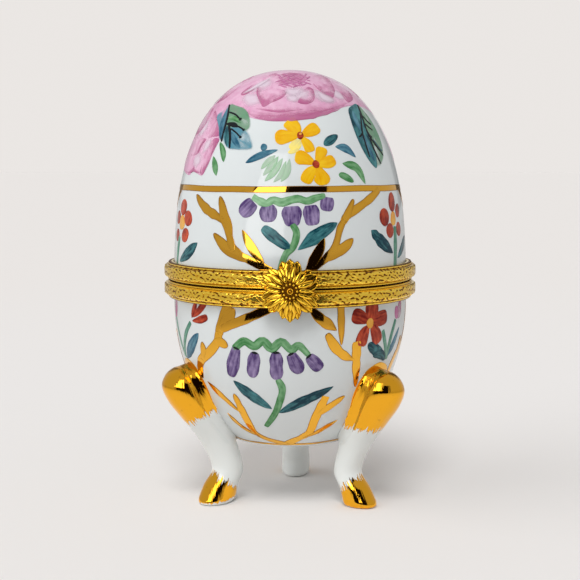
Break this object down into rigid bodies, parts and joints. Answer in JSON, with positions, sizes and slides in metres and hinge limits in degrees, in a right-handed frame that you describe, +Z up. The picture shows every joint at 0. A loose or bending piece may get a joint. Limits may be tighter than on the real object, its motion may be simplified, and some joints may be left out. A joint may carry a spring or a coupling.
{
  "type": "egg trinket box",
  "caption": "Porcelain egg box on cabriole legs with hoof feet: a painted dome lid turns on a rear hinge between gilt brass mounts and closes with a flower clasp.",
  "frame": {"origin": "on the ground under the egg's axis", "axes": "+Z up along the egg's axis, clasp facing -Y, hinge at +Y, +X to the right seen from the clasp"},
  "size_m": [0.0588, 0.0644, 0.1],
  "materials": {
    "porcelain": "glossy glaze",
    "gilt_brass": "polished gilt"
  },
  "bodies": {
    "base": {"base_shell": "porcelain", "leg_front_right": "porcelain", "leg_rear": "porcelain", "leg_front_left": "porcelain", "base_collar": "gilt_brass", "base_band": "gilt_brass", "base_hinge_leaf": "gilt_brass", "base_knuckle_left": "gilt_brass", "base_knuckle_centre": "gilt_brass", "base_knuckle_right": "gilt_brass", "hinge_pin": "gilt_brass", "catch_stud": "gilt_brass"},
    "lid": {"lid_shell": "porcelain", "lid_collar": "gilt_brass", "lid_band": "gilt_brass", "lid_hinge_leaf": "gilt_brass", "lid_knuckle_left": "gilt_brass", "lid_knuckle_right": "gilt_brass", "clasp_plate": "gilt_brass", "clasp_rosette": "gilt_brass", "clasp_boss": "gilt_brass"}
  },
  "joints": [
    {"name": "lid_hinge", "type": "hinge", "parent": "base", "child": "lid", "pos_m": [0, 0.0308, 0.0519], "axis": [-1, 0, 0], "range_deg": [0, 80]}
  ]
}
